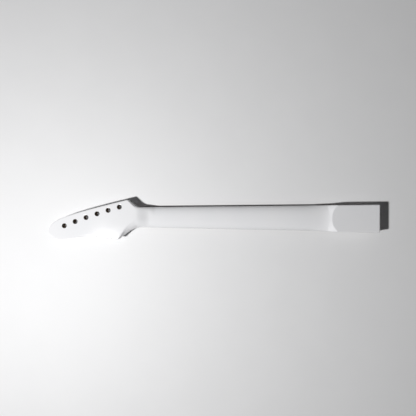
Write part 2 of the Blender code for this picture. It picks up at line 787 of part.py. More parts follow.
def build_truss_rod(steel, brass):
    """Turning rod and adjuster, and the bar and blocks that stay put."""
    axis = bpy.data.objects.new("rod_axis", None)
    axis.location = (-PAD_MIDDLE_X, 0, ROD_Z)
    bpy.context.scene.collection.objects.link(axis)
    radius = ROD_DIAMETER / 2
    start = ROD_FROM_NUT - ADJUSTER_BORE_DEPTH + SEAT_GAP
    end = ROD_END_X - SEAT_GAP
    rod = [(start, 0), (start, radius), (end, radius), (end, 0)]
    rod_part("truss_rod", rod, 16, steel, axis)

    outer = ADJUSTER_DIAMETER / 2
    near = ROD_FROM_NUT - ADJUSTER_LENGTH
    chamfer = 0.0006
    bore = radius + SEAT_GAP
    bottom = ROD_FROM_NUT - ADJUSTER_BORE_DEPTH
    barrel = [
        (near, 0),
        (near, outer - chamfer),
        (near + chamfer, outer),
        (ROD_FROM_NUT, outer),
        (ROD_FROM_NUT, bore),
        (bottom, bore),
        (bottom, 0),
    ]
    adjuster = rod_part("adjuster_nut", barrel, 24, steel, axis)
    socket = bmesh.new()
    bmesh.ops.create_cone(
        socket,
        cap_ends=True,
        segments=6,
        radius1=SOCKET_FLATS / math.sqrt(3),
        radius2=SOCKET_FLATS / math.sqrt(3),
        depth=2 * SOCKET_DEPTH,
        matrix=Matrix.Translation((near, 0, 0)) @ Matrix.Rotation(math.pi / 2, 4, "Y"),
    )
    cutter = add_cutter("hex_socket", mesh_from(socket, "hex_socket"), adjuster)
    cutter.location = (-PAD_MIDDLE_X, 0, ROD_Z)

    bar_start = ROD_FROM_NUT + SEAT_GAP
    bar = box_mesh("truss_bar", bar_start, ROD_END_X, BAR_WIDTH, BAR_BASE_Z, BAR_THICKNESS)
    add_object("truss_bar", bar, steel)
    for name, x in (("front_block", bar_start), ("anchor_block", ROD_END_X - BLOCK_LENGTH)):
        mesh = box_mesh(name, x, x + BLOCK_LENGTH, BLOCK_WIDTH, BLOCK_BASE_Z, BLOCK_WIDTH)
        block = add_object(name, mesh, brass)
        bore_mesh = disc_mesh(name + "_bore", BLOCK_BORE_RADIUS, -BLOCK_LENGTH, BLOCK_LENGTH, 16)
        frame = Matrix.Translation((x + BLOCK_LENGTH / 2, 0, ROD_Z))
        bore_mesh.transform(frame @ Matrix.Rotation(math.pi / 2, 4, "Y"))
        add_cutter(name + "_bore", bore_mesh, block)


def box_mesh(name, start, end, width, base, height):
    """Plain bar along X, standing on a height."""
    shape = bmesh.new()
    bmesh.ops.create_cube(shape, size=1.0)
    bmesh.ops.scale(shape, vec=(end - start, width, height), verts=shape.verts)
    middle = ((start + end) / 2, 0, base + height / 2)
    bmesh.ops.translate(shape, vec=middle, verts=shape.verts)
    return mesh_from(shape, name)


def build_dots(pearl):
    """Face dots and side dots, each set from one shared mesh."""
    face = disc_mesh("face_dot", DOT_DIAMETER / 2, -DOT_THICKNESS, 0.0, 16)
    side = disc_mesh("side_dot", SIDE_DOT_DIAMETER / 2, -SIDE_DOT_LENGTH, 0.0, 10)
    shift = Matrix.Translation((-PAD_MIDDLE_X, 0, 0))
    for name, x, angle in face_dot_places():
        dot = add_object(name, face, pearl)
        dot.matrix_world = shift @ face_dot_frame(x, angle)
    for name, x in side_dot_places():
        dot = add_object(name, side, pearl)
        dot.matrix_world = shift @ side_dot_frame(x)


def main():
    """Builds the neck."""
    clear_scene()
    white = make_material("white_gloss_paint", (0.86, 0.86, 0.87), 0.18)
    rosewood = make_material("rosewood", (0.09, 0.045, 0.028), 0.5)
    bone = make_material("bone", (0.86, 0.82, 0.70), 0.4)
    nickel = make_material("nickel_silver", (0.72, 0.71, 0.68), 0.25, 1.0)
    pearl = make_material("pearl", (0.88, 0.88, 0.86), 0.25)
    steel = make_material("rod_steel", (0.42, 0.43, 0.45), 0.4, 1.0)
    brass = make_material("block_brass", (0.75, 0.58, 0.28), 0.35, 1.0)

    blank = add_object("neck_blank", neck_blank_mesh(), white)
    add_cutter("tuner_holes", hole_cutters_mesh(), blank)
    add_cutter("rod_slot", slot_cutter_mesh(), blank)

    board = add_object("fingerboard", fingerboard_mesh(), rosewood)
    add_cutter("board_slots", board_slots_mesh(), board)
    add_cutter("dot_pockets", dot_pockets_mesh(), board)

    nut = add_object("nut", nut_mesh(), bone, -NUT_THICKNESS / 2)
    add_cutter("string_slots", string_slots_mesh(), nut, -NUT_THICKNESS / 2)

    for number in range(1, FRET_COUNT + 1):
        add_object(f"fret_{number:02d}", fret_mesh(number), nickel, fret_x(number))
    build_dots(pearl)
    build_truss_rod(steel, brass)


main()
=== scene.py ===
"""Looks of a bolt-on guitar neck with a white painted back, lying face down on pale paper.

Lengths are in metres and angles in degrees. X counts from the nut's front face towards the heel
until a mesh is made, Y points to the bass side and Z out of the neck's back.
"""

import math

import bmesh
import bpy
import numpy as np
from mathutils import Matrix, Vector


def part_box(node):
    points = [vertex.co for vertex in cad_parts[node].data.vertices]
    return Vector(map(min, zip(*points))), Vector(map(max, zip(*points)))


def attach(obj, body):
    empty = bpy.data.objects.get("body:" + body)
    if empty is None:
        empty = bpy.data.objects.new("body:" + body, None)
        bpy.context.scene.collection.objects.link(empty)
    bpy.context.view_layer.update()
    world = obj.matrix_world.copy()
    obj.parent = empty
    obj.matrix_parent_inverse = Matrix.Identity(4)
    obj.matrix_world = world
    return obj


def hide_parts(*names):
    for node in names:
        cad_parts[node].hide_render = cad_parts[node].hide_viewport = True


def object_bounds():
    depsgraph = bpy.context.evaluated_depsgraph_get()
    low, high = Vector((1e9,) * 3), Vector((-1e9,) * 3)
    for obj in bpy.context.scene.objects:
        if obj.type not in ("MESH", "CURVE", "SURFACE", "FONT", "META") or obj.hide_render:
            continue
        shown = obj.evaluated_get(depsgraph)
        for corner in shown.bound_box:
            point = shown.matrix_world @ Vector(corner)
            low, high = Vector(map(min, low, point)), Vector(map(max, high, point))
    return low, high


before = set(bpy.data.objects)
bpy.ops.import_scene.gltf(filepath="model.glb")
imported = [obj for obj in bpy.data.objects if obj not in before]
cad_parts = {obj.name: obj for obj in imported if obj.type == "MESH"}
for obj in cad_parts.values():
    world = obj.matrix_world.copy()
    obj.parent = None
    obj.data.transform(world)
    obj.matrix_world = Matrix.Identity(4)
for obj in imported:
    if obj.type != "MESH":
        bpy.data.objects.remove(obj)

bl_info = {
    "name": "Guitar neck",
    "version": (1, 0, 0),
    "blender": (4, 5, 0),
    "location": "View3D > Sidebar > Guitar neck",
    "description": "Builds the painted neck, its fingerboard, frets and markers, and the stage",
    "category": "Object",
}

# Read from the frame
CAD_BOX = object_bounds()
NUT_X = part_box("nut")[1][0]
END_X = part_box("fingerboard")[1][0] - NUT_X
FLOOR_Z = CAD_BOX[0][2]
FACE_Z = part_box("fingerboard")[0][2]
GLUE_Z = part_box("fingerboard")[1][2]

# Back of the neck
OCTAVE = 12                  # frets to an octave
HEADSTOCK_Z = -0.0145        # the headstock's face
SHAFT_THICKNESS_FIRST = 0.0195
SHAFT_GROWTH = 0.0015        # from the first to the twelfth fret
SHAFT_POWER = 2.2            # 2 is an ellipse, more is fuller shouldered
BASS_POWER_MORE = 7          # squarer shoulder on the bass side, at the nut
PAD_POWER_MORE = 1.3         # fuller at the pad
END_POWER_MORE = 9           # and nearly square at the heel's end
RAMP_POWER = 4.5             # how late the heel's scoop climbs
SIDES_SQUARE_FROM_END = 0.062
SIDE_SPREAD = 0.006          # how far the carved form outgrows the block at the pad
SPREAD_PAST_CREASE = 0.03    # where it does so in full
PAD_FULL_BEFORE_CREASE = 0.006
PAD_FULL_PAST_CREASE = 0.014
GLUE_EDGE_ROUND = 0.0004
SMALLEST_ROUND = 0.00002

# Headstock
BOARD_TAIL = 0.012           # fingerboard behind the nut's front face
FACE_SCOOP_LENGTH = 0.014    # curve from the board's tail down to the headstock's face
FACE_ROUND_FROM_NUT = 0.05   # where the headstock's face has its full edge round
BACK_DIP_LENGTH = 0.014      # half the length of the dip behind the nut
SHOULDER_LENGTH = 0.0345     # from the dip to the lower horn
BACK_CLIMB_EVEN = 0.0042     # how far the carved form climbs over the shoulder's length
BACK_CLIMB_LATE = 0.025      # and how far more, nearly all of it at the horn
BASS_FULL_FROM = 0.013       # square bass shoulder, from this far behind the nut
BASS_FULL_TO = 0.026         # to this far beyond it
FIRST_TUNER = np.array([-0.0471, 0.0215])
TUNER_COUNT = 6
TUNER_SPACING = 0.024
TUNER_ROW_ANGLE = 19.05      # of the row to the neck's axis
TUNER_ROW_ARCH = 0.00175     # rise of the row's middle over its chord
MARGIN_AT_FIRST = 0.0108     # first hole's centre to the upper edge
MARGIN_AT_LAST = 0.0172      # last hole's centre to the upper edge
CORNER = np.array([-0.0308, 0.0368])
CORNER_RADIUS = 0.005
CORNER_LEAVES = -39
TIP_FROM_LAST = np.array([-0.0329, -0.011])
TIP_ROUND = 0.013
BUTT_FROM_TIP = 0.0235       # where the lower edge leaves the tip's round
BUTT_Y = -0.0447
WAIST = np.array([-0.1076, -0.0392])
HORN = np.array([-0.0486, -0.0452])
HORN_RADIUS = 0.0025
HORN_ARRIVES = -4
HORN_LEAVES = 43
SHOULDER_END = 0.005         # where the outline meets the neck's straight edges

# Holes and the truss rod's slot
HOLE_LIP = 0.0005            # round of a tuner hole's rim
LIP_CLEAR = 0.00003          # how far the rim's round ends out of the face
CUT_PAST = 0.002
BORE_SLACK = 0.00005
BORE_UPRIGHT = 0.3           # largest Z of the normal of a face inside a hole
SLOT_START = -0.0325
SLOT_END = 0.4353
SLOT_RADIUS = 0.0035
SLOT_FLOOR_Z = -0.0096
SLOT_BELOW_GLUE = 0.004
SLOT_SLACK = 0.0001
BARE_PAST_GLUE = 0.0008      # the slot is bare wood from this far inside the neck
BARE_FROM_X = -0.033         # and from here towards the heel

# Fingerboard and frets
BOARD_TAIL_CURVE = 0.0045
BOARD_TAIL_DROP = 0.005
BOARD_TAIL_EDGE = 0.0005
BOARD_END_ROUND = 0.0003
FRET_END_INSET = 0.0004      # from the board's edge to the fret's end
FRET_BEVEL = 0.002           # from the fret's end to its full height
FRET_FOOT = 0.0002           # rise of the crown's edge off the board
FRET_HEIGHT = 0.0013
FRET_HALF_WIDTH = 0.00135
TANG_HALF_WIDTH = 0.0003
TANG_DEPTH = 0.0014
BEVEL_PLACES = np.array([0, 0.0003, 0.0007, 0.001, 0.0013])
BEVEL_SHARES = np.array([0, 0.35, 0.7, 0.92, 1])

# Stage
FLOOR_REACH = 6.0
FLOOR_GAP = 0.00002
LAMP_PLACE = (-0.740, -0.150, 0.572)    # in the frame
LAMP_RADIUS = 0.03
LAMP_STRENGTH = 30.0
LAMP_FALL = 0.33             # share of light that fades with distance, to one part that doesn't
FILL_STRENGTH = 0.02
CAMERA_FROM_NUT = (0.136, 0.0204, 0.5636)
CAMERA_TURN = 0.28
LENS_MM = 23.625
SENSOR_MM = 36


class NeckSettings(bpy.types.PropertyGroup):
    """Sizes and colours of the neck."""

    scale_length: bpy.props.FloatProperty(
        name="Scale length", description="Nut to bridge", default=0.648, unit="LENGTH")
    nut_width: bpy.props.FloatProperty(
        name="Nut width", description="Across the neck at the nut", default=0.043, unit="LENGTH")
    heel_width: bpy.props.FloatProperty(
        name="Heel width", description="Across the heel's end", default=0.058, unit="LENGTH")
    board_radius: bpy.props.FloatProperty(
        name="Board radius", description="Crown of the face", default=0.406, unit="LENGTH")
    edge_round: bpy.props.FloatProperty(
        name="Edge round", description="Round of the outer edges", default=0.0022, unit="LENGTH")
    pad_length: bpy.props.FloatProperty(
        name="Pad length", description="Flat of the heel", default=0.0992, unit="LENGTH")
    ramp_length: bpy.props.FloatProperty(
        name="Ramp length", description="Scoop before the pad", default=0.048, unit="LENGTH")
    hole_size: bpy.props.FloatProperty(
        name="Tuner hole", description="Diameter of a tuner hole", default=0.010, unit="LENGTH")
    fret_count: bpy.props.IntProperty(
        name="Frets", description="Number of frets", default=24)
    paint: bpy.props.FloatVectorProperty(
        name="Paint", description="White gloss paint", size=3, subtype="COLOR",
        default=(0.81, 0.808, 0.82))
    rosewood: bpy.props.FloatVectorProperty(
        name="Fingerboard", description="Dark rosewood", size=3, subtype="COLOR",
        default=(0.075, 0.036, 0.022))
    paper: bpy.props.FloatVectorProperty(
        name="Paper", description="Sheet under the neck", size=3, subtype="COLOR",
        default=(0.80, 0.80, 0.805))


def settings():
    """The scene's neck settings."""
    return bpy.context.scene.guitar_neck


def fret_x(number):
    """Distance of a fret from the nut: scale length times 1 less 2 to the power -n/12."""
    return settings().scale_length * (1 - 2.0 ** (-number / OCTAVE))


def half_width(x):
    """Half the board's width, growing evenly from the nut to the heel's end."""
    s = settings()
    return (s.nut_width + (s.heel_width - s.nut_width) * x / END_X) / 2


def crease_x():
    """Where the heel's scoop meets its flat pad."""
    return END_X - settings().pad_length


def ease(value, start, end):
    """Smooth climb from 0 at start to 1 at end: 3t squared less 2t cubed."""
    share = climb(value, start, end)
    return share * share * (3 - 2 * share)


def climb(value, start, end):
    """Even climb from 0 at start to 1 at end."""
    return np.clip((value - start) / (end - start), 0, 1)


def heading(angle):
    """Unit vector along an angle from +X."""
    return np.array([math.cos(math.radians(angle)), math.sin(math.radians(angle))])


def bend(start, start_heading, end, end_heading, samples=160):
    """Cubic Bezier curve whose handles lie along the headings, a third of the chord long."""
    t = np.arange(samples)[:, None] / samples
    reach = np.linalg.norm(end - start) / 3
    first = start + heading(start_heading) * reach
    second = end - heading(end_heading) * reach
    u = 1 - t
    return start * u**3 + first * 3 * u * u * t + second * 3 * u * t * t + end * t**3


def tuner_centres():
    """Hole centres evenly along a slanted row, arched by 4t(1 - t) times the arch's rise."""
    index = np.arange(TUNER_COUNT)[:, None]
    row = -heading(TUNER_ROW_ANGLE)
    across = np.array([row[1], -row[0]])
    share = index / (TUNER_COUNT - 1)
    arch = across * 4 * TUNER_ROW_ARCH * share * (1 - share)
    return FIRST_TUNER + row * TUNER_SPACING * index + arch


def corner_ends(corner, arriving, leaving, radius):
    """Tangent points of a round between two straight sides: radius times tan of half the turn."""
    reach = radius * math.tan(math.radians(abs(leaving - arriving) / 2))
    return corner - heading(arriving) * reach, corner + heading(leaving) * reach


def outlines():
    """The tip, and both edges of the plan from it to the heel's end, as chains of cubic curves."""
    holes = tuner_centres()
    tip = holes[-1] + TIP_FROM_LAST
    taper = math.degrees(math.atan2(half_width(END_X) - half_width(0), END_X))
    shoulder = np.array([-SHOULDER_END, half_width(-SHOULDER_END)])
    end = np.array([END_X, half_width(END_X)])
    mirror = np.array([1, -1])

    across = heading(TUNER_ROW_ANGLE + 90)
    over_last = holes[-1] + across * MARGIN_AT_LAST
    over_first = holes[0] + across * MARGIN_AT_FIRST
    arriving = math.degrees(math.atan2(*(CORNER - over_first)[::-1]))
    first, second = corner_ends(CORNER, arriving, CORNER_LEAVES, CORNER_RADIUS)
    bass = np.concatenate([
        bend(tip, 90, over_last, TUNER_ROW_ANGLE + 1),
        bend(over_last, TUNER_ROW_ANGLE + 1, first, arriving),
        bend(first, arriving, second, CORNER_LEAVES),
        bend(second, CORNER_LEAVES, shoulder, taper),
        [shoulder, end],
    ])

    butt = np.array([tip[0] + BUTT_FROM_TIP, BUTT_Y])
    first, second = corner_ends(HORN, HORN_ARRIVES, HORN_LEAVES, HORN_RADIUS)
    treble = np.concatenate([
        bend(tip, -90, butt, 0),
        bend(butt, 0, WAIST, 0),
        bend(WAIST, 0, first, HORN_ARRIVES),
        bend(first, HORN_ARRIVES, second, HORN_LEAVES),
        bend(second, HORN_LEAVES, shoulder * mirror, -taper),
        [shoulder * mirror, end * mirror],
    ])
    return tip, bass, treble


def shaft_top(x):
    """Height of the shaft's back: thickness grows evenly along the neck."""
    share = (x - fret_x(1)) / (fret_x(OCTAVE) - fret_x(1))
    return SHAFT_THICKNESS_FIRST + SHAFT_GROWTH * share + FACE_Z


def carved_top(x):
    """Height of the carved form along the middle.

    The shaft's height eases to the back plane behind the nut and goes on as a straight and a
    sixth-power climb. At the heel a power curve climbs from the shaft to the pad and goes on
    straight with the slope that it has there.
    """
    ramp_length = settings().ramp_length
    beyond = np.maximum(0, -BACK_DIP_LENGTH - x) / SHOULDER_LENGTH
    head = shaft_top(x) * ease(x, -BACK_DIP_LENGTH, BACK_DIP_LENGTH)
    head = head + BACK_CLIMB_EVEN * beyond + BACK_CLIMB_LATE * beyond**6
    rise = -shaft_top(crease_x())
    share = np.maximum(0, (x - crease_x() + ramp_length) / ramp_length)
    ramp = shaft_top(x) + rise * np.minimum(share, 1) ** RAMP_POWER
    past = rise * RAMP_POWER * (share - 1)
    heel = np.where(share < 1, ramp, past)
    return np.where(x < BACK_DIP_LENGTH, head, heel)


def underside(x):
    """Height of the base: glue plane, a squared fall behind the board's tail, headstock face."""
    scoop = climb(-x, BOARD_TAIL, BOARD_TAIL + FACE_SCOOP_LENGTH)
    return HEADSTOCK_Z + (GLUE_Z - HEADSTOCK_Z) * (1 - scoop) ** 2


def fullness(x, side):
    """Exponent of the carved section: an arch in the shaft, squarer towards both ends."""
    middle = crease_x() + PAD_FULL_PAST_CREASE
    power = SHAFT_POWER + 0 * x
    if side > 0:
        power = power + BASS_POWER_MORE * (1 - ease(x, -BASS_FULL_FROM, BASS_FULL_TO))
    pad = climb(x, crease_x() - PAD_FULL_BEFORE_CREASE, middle)
    end = climb(x, middle, END_X - SIDES_SQUARE_FROM_END)
    return power + PAD_POWER_MORE * pad + END_POWER_MORE * end


def section_angles(inner, outer, columns):
    """Directions from the middle of the back to the block's corner, round it and down the side."""
    top, corner, flank = columns
    return np.concatenate([
        math.pi / 2 + (inner - math.pi / 2)[:, None] * np.arange(top) / top,
        inner[:, None] + (outer - inner)[:, None] * np.arange(corner) / corner,
        outer[:, None] * (1 - np.arange(flank + 1) / flank),
    ], axis=1)


def block_reach(angle, inner, outer, wide, high, radius):
    """Distance from the base's middle to a block with a rounded corner, along each angle.

    The flat back is high/sin and the upright side wide/cos. Between them it is where the
    direction leaves the corner's circle: b + sqrt(b^2 - c), b being the way along the direction
    to the circle's centre and c the centre's squared distance less the squared radius.
    """
    cosine, sine = np.cos(angle), np.sin(angle)
    along = (wide - radius)[:, None] * cosine + (high - radius)[:, None] * sine
    square = (wide - radius) ** 2 + (high - radius) ** 2 - radius**2
    rounded = along + np.sqrt(np.maximum(0, along**2 - square[:, None]))
    flat = high[:, None] / np.maximum(sine, 1e-9)
    upright = wide[:, None] / np.maximum(cosine, 1e-9)
    block = np.where(angle >= inner[:, None], flat, rounded)
    return np.where(angle <= outer[:, None], upright, block)


def arch_reach(angle, x, reach, base, side):
    """Distance to the superellipse (across/reach)^p + (up/height)^p = 1, along each angle."""
    power = fullness(x, side)[:, None]
    ramp_start = crease_x() - settings().ramp_length
    grown = reach + SIDE_SPREAD * ease(x, ramp_start, crease_x() + SPREAD_PAST_CREASE)
    height = np.maximum(carved_top(x) - base, 1e-4)
    total = (np.abs(np.cos(angle)) / grown[:, None]) ** power
    total = total + (np.sin(angle) / height[:, None]) ** power
    return np.where((x > HORN[0])[:, None], total ** (-1 / power), np.inf)


def half_section(x, edge, side, tip, shrink, columns, low):
    """Points of one half of the section for every x, one row for each.

    The back is the nearer of a rounded block and a superellipse along each direction from the
    base's middle. A quarter round and a flat on the face side close it. Near the edge a point
    lies straight in from the outline, and further in on the line to the section's middle.
    """
    s = settings()
    run = np.gradient(edge, axis=0)
    run /= np.linalg.norm(run, axis=1)[:, None]
    out = side * np.stack([-run[:, 1], run[:, 0]], axis=1)
    out[0] = (-1, 0)
    place = np.stack([x, np.interp(x, edge[:, 0], edge[:, 1])], axis=1)
    outward = np.stack([np.interp(x, edge[:, 0], out[:, i]) for i in (0, 1)], axis=1)
    outward /= np.linalg.norm(outward, axis=1)[:, None]
    last = tip[0] + TIP_ROUND
    middle = np.stack([np.maximum(x, last), tip[1] * ease(-x, -HORN[0], -last)], axis=1)
    cross = place - middle
    reach = np.linalg.norm(cross, axis=1)
    cross /= reach[:, None]

    rounded = ease(-x, BOARD_TAIL, FACE_ROUND_FROM_NUT)
    round_low = GLUE_EDGE_ROUND + (s.edge_round - GLUE_EDGE_ROUND) * rounded
    base = underside(x) + round_low
    wide = reach - shrink
    high = -shrink - base
    radius = np.maximum(s.edge_round - shrink, SMALLEST_ROUND)
    inner = np.arctan2(high, wide - radius)
    outer = np.arctan2(high - radius, wide)
    angle = section_angles(inner, outer, columns)
    distance = np.minimum(block_reach(angle, inner, outer, wide, high, radius),
                          arch_reach(angle, x, reach, base, side))

    turn = math.pi / 2 * np.arange(1, low + 1) / low
    inset = np.concatenate([
        reach[:, None] - distance * np.cos(angle),
        shrink[:, None] + round_low[:, None] * (1 - np.cos(turn)),
        reach[:, None],
    ], axis=1)
    z = np.concatenate([
        base[:, None] + distance * np.sin(angle),
        base[:, None] - round_low[:, None] * np.sin(turn),
        (base - round_low)[:, None],
    ], axis=1)
    share = (np.maximum(0, 1 - inset / (3 * s.edge_round)) ** 2)[..., None]
    direction = outward[:, None, :] * share + cross[:, None, :] * (1 - share)
    spot = place[:, None, :] - direction * inset[..., None]
    return np.concatenate([spot, z[..., None]], axis=2)


def spaced(*stretches):
    """One array of distances from (start, end, count) stretches, each without its end."""
    return np.concatenate([np.linspace(a, b, n, endpoint=False) for a, b, n in stretches])


def stations(tip):
    """Distances where a section is drawn, close together where the shape changes."""
    nose = 0.02
    ramp = crease_x() - settings().ramp_length
    bend_start = crease_x() - 0.012
    bend_end = crease_x() + 0.03
    quarter = np.linspace(0, math.pi / 2, 40, endpoint=False)
    return np.concatenate([tip[0] + nose * (1 - np.cos(quarter)), spaced(
        (tip[0] + nose, -0.056, 70), (-0.056, -0.04, 60), (-0.04, 0.03, 130),
        (0.03, ramp, 110), (ramp, bend_start, 50), (bend_start, bend_end, 110),
        (bend_end, END_X - settings().edge_round, 40))])


def neck_grid():
    """Rings of the whole neck: section by section, then shrinking by a quarter round at the end.

    Ring k of the end's round is shrunk by r(1 - cos a) and stands r sin a further on.
    """
    edge_round = settings().edge_round
    tip, bass, treble = outlines()
    x = stations(tip)
    turn = np.linspace(0, math.pi / 2, 8)
    shrink = np.minimum(edge_round * (1 - np.cos(turn)), 0.98 * edge_round)
    shrinks = np.concatenate([0 * x, shrink])
    last = END_X - edge_round
    x = np.concatenate([x, np.full(len(turn), last)])
    upper = half_section(x, bass, 1, tip, shrinks, (34, 10, 12), 5)
    lower = half_section(x, treble, -1, tip, shrinks, (34, 10, 12), 5)
    grid = np.concatenate([upper, lower[:, -2:0:-1]], axis=1)
    grid[-len(turn):, :, 0] = (last + edge_round * np.sin(turn))[:, None]
    return grid


def skin(name, grid, caps=(True, True), sharp=35):
    """Object whose mesh joins rows of closed rings, with a flat cap at either end.

    Doubles at seams and poles are merged, and the faces turned outwards.
    """
    rows, ring = grid.shape[:2]
    i = np.arange(rows - 1)[:, None] * ring
    j = np.arange(ring)[None]
    k = (j + 1) % ring
    faces = np.stack([i + j, i + k, i + ring + k, i + ring + j], axis=-1).reshape(-1, 4).tolist()
    if caps[0]:
        faces.append(list(range(ring))[::-1])
    if caps[1]:
        faces.append(list(range((rows - 1) * ring, rows * ring)))
    mesh = bpy.data.meshes.new(name)
    points = grid.reshape(-1, 3) + np.array([NUT_X, 0, 0])
    mesh.from_pydata(points.tolist(), [], faces)
    shape = bmesh.new()
    shape.from_mesh(mesh)
    bmesh.ops.remove_doubles(shape, verts=shape.verts, dist=1e-7)
    bmesh.ops.recalc_face_normals(shape, faces=shape.faces)
    shape.to_mesh(mesh)
    shape.free()
    smooth(mesh, sharp)
    item = bpy.data.objects.new(name, mesh)
    bpy.context.scene.collection.objects.link(item)
    return item


def smooth(mesh, sharp):
    """Rounds the shading, apart from edges sharper than the angle."""
    mesh.shade_smooth()
    mesh.set_sharp_from_angle(angle=math.radians(sharp))


def dress(item, node, slot, *materials):
    """Gives a new piece its materials and body, and puts it in the CAD node's place."""
    item.data.materials.clear()
    for material in materials:
        item.data.materials.append(material)
    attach(item, "neck")
    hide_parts(node)


def crown(x, rise, angle):
    """Points at a height out of the board's face, at an angle around its crown's axis."""
    board_radius = settings().board_radius
    radius = board_radius + rise
    height = FACE_Z + board_radius - radius * np.cos(angle)
    return np.stack(np.broadcast_arrays(x, radius * np.sin(angle), height), axis=-1)


def cut_away(item, cutters):
    """Cuts shapes out of a finished piece and leaves the result in its mesh."""
    for cutter in cutters:
        cut = item.modifiers.new("cut", "BOOLEAN")
        cut.operation = "DIFFERENCE"
        cut.solver = "EXACT"
        cut.object = cutter
    seen = item.evaluated_get(bpy.context.evaluated_depsgraph_get())
    mesh = bpy.data.meshes.new_from_object(seen)
    item.modifiers.clear()
    item.data = mesh
    smooth(mesh, 35)
    for cutter in cutters:
        bpy.data.objects.remove(cutter, do_unlink=True)


def hole_cutter(centre):
    """Cutter of a tuner hole: a cylinder that flares by a quarter round at both faces.

    Along the round the radius grows by lip(1 - cos a) while the height falls by lip(1 - sin a).
    """
    radius = settings().hole_size / 2
    turn = np.linspace(0, math.pi / 2, 6)
    flare = radius + HOLE_LIP * (1 - np.cos(turn))
    fall = HOLE_LIP * (1 - np.sin(turn))
    high = LIP_CLEAR
    low = HEADSTOCK_Z - LIP_CLEAR
    rim = [radius + HOLE_LIP]
    sizes = np.concatenate([rim, flare[::-1], flare, rim])
    heights = np.concatenate([[high + CUT_PAST], high - fall[::-1], low + fall, [low - CUT_PAST]])
    around = np.arange(96) / 96 * math.tau
    grid = np.stack(np.broadcast_arrays(
        centre[0] + sizes[:, None] * np.cos(around),
        centre[1] + sizes[:, None] * np.sin(around),
        heights[:, None]), axis=-1)
    return skin("hole_cutter", grid)


def slot_cutter():
    """Cutter of the truss rod's slot, with a half round end towards the headstock."""
    turn = np.linspace(math.pi / 2, 3 * math.pi / 2, 33)
    ring = np.stack([SLOT_START + SLOT_RADIUS * np.cos(turn), SLOT_RADIUS * np.sin(turn)], axis=1)
    ring = np.concatenate([ring, [[SLOT_END, -SLOT_RADIUS], [SLOT_END, SLOT_RADIUS]]])
    levels = (GLUE_Z - SLOT_BELOW_GLUE, SLOT_FLOOR_Z)
    grid = np.stack([np.column_stack([ring, np.full(len(ring), z)]) for z in levels])
    return skin("slot_cutter", grid)


def bare_and_shaded_faces(mesh):
    """Mask of the bare faces inside the tuner holes and the truss rod's slot, which get a dark
    colour as painted shade.
    """
    spots = np.empty(len(mesh.polygons) * 3)
    mesh.polygons.foreach_get("center", spots)
    spots = spots.reshape(-1, 3) - np.array([NUT_X, 0, 0])
    normals = np.empty(len(mesh.polygons) * 3)
    mesh.polygons.foreach_get("normal", normals)
    upright = abs(normals.reshape(-1, 3)[:, 2]) < BORE_UPRIGHT
    away = np.linalg.norm(spots[:, None, :2] - tuner_centres()[None], axis=2).min(axis=1)
    bore = (away < settings().hole_size / 2 + BORE_SLACK) & upright
    if not bore.any():
        raise RuntimeError("the tuner holes weren't cut")
    x, y, z = spots.T
    groove = (z > GLUE_Z + BARE_PAST_GLUE) & (z < SLOT_FLOOR_Z + SLOT_SLACK)
    groove &= (abs(y) < SLOT_RADIUS + SLOT_SLACK) & (x < SLOT_END + SLOT_SLACK)
    groove &= x > BARE_FROM_X
    return bore | groove


def new_material(name, colour, roughness, metallic=0.0):
    """Material, its Principled shader and the place that its patterns read."""
    material = bpy.data.materials.new(name)
    material.use_nodes = True
    nodes = material.node_tree.nodes
    shader = nodes["Principled BSDF"]
    shader.inputs["Base Color"].default_value = (*colour, 1)
    shader.inputs["Roughness"].default_value = roughness
    shader.inputs["Metallic"].default_value = metallic
    place = nodes.new("ShaderNodeTexCoord")
    return material, shader, place.outputs["Object"]


def noise(nodes, scale, detail=2.0, distortion=0.0):
    """One noise texture."""
    texture = nodes.new("ShaderNodeTexNoise")
    texture.inputs["Scale"].default_value = scale
    texture.inputs["Detail"].default_value = detail
    texture.inputs["Distortion"].default_value = distortion
    return texture


def grain_group():
    """Group that gives a streaked mask, a fine height and a broad mottle from a position."""
    found = bpy.data.node_groups.get("surface_grain")
    if found:
        return found
    group = bpy.data.node_groups.new("surface_grain", "ShaderNodeTree")
    face = group.interface
    face.new_socket("Position", in_out="INPUT", socket_type="NodeSocketVector")
    for label, value in (("Along", 20.0), ("Across", 400.0), ("Fine", 1500.0)):
        face.new_socket(label, in_out="INPUT", socket_type="NodeSocketFloat").default_value = value
    for label in ("Streaks", "Height", "Mottle"):
        face.new_socket(label, in_out="OUTPUT", socket_type="NodeSocketFloat")
    nodes, link = group.nodes, group.links.new
    start = nodes.new("NodeGroupInput")
    end = nodes.new("NodeGroupOutput")
    stretch = nodes.new("ShaderNodeCombineXYZ")
    link(start.outputs["Along"], stretch.inputs["X"])
    link(start.outputs["Across"], stretch.inputs["Y"])
    link(start.outputs["Across"], stretch.inputs["Z"])
    scaled = nodes.new("ShaderNodeVectorMath")
    scaled.operation = "MULTIPLY"
    link(start.outputs["Position"], scaled.inputs[0])
    link(stretch.outputs["Vector"], scaled.inputs[1])
    streaks = noise(nodes, 1.0, 6.0, 0.4)
    link(scaled.outputs["Vector"], streaks.inputs["Vector"])
    fine = noise(nodes, 1.0)
    link(start.outputs["Position"], fine.inputs["Vector"])
    link(start.outputs["Fine"], fine.inputs["Scale"])
    broad = noise(nodes, 14.0, 3.0)
    link(start.outputs["Position"], broad.inputs["Vector"])
    link(streaks.outputs["Fac"], end.inputs["Streaks"])
    link(fine.outputs["Fac"], end.inputs["Height"])
    link(broad.outputs["Fac"], end.inputs["Mottle"])
    return group


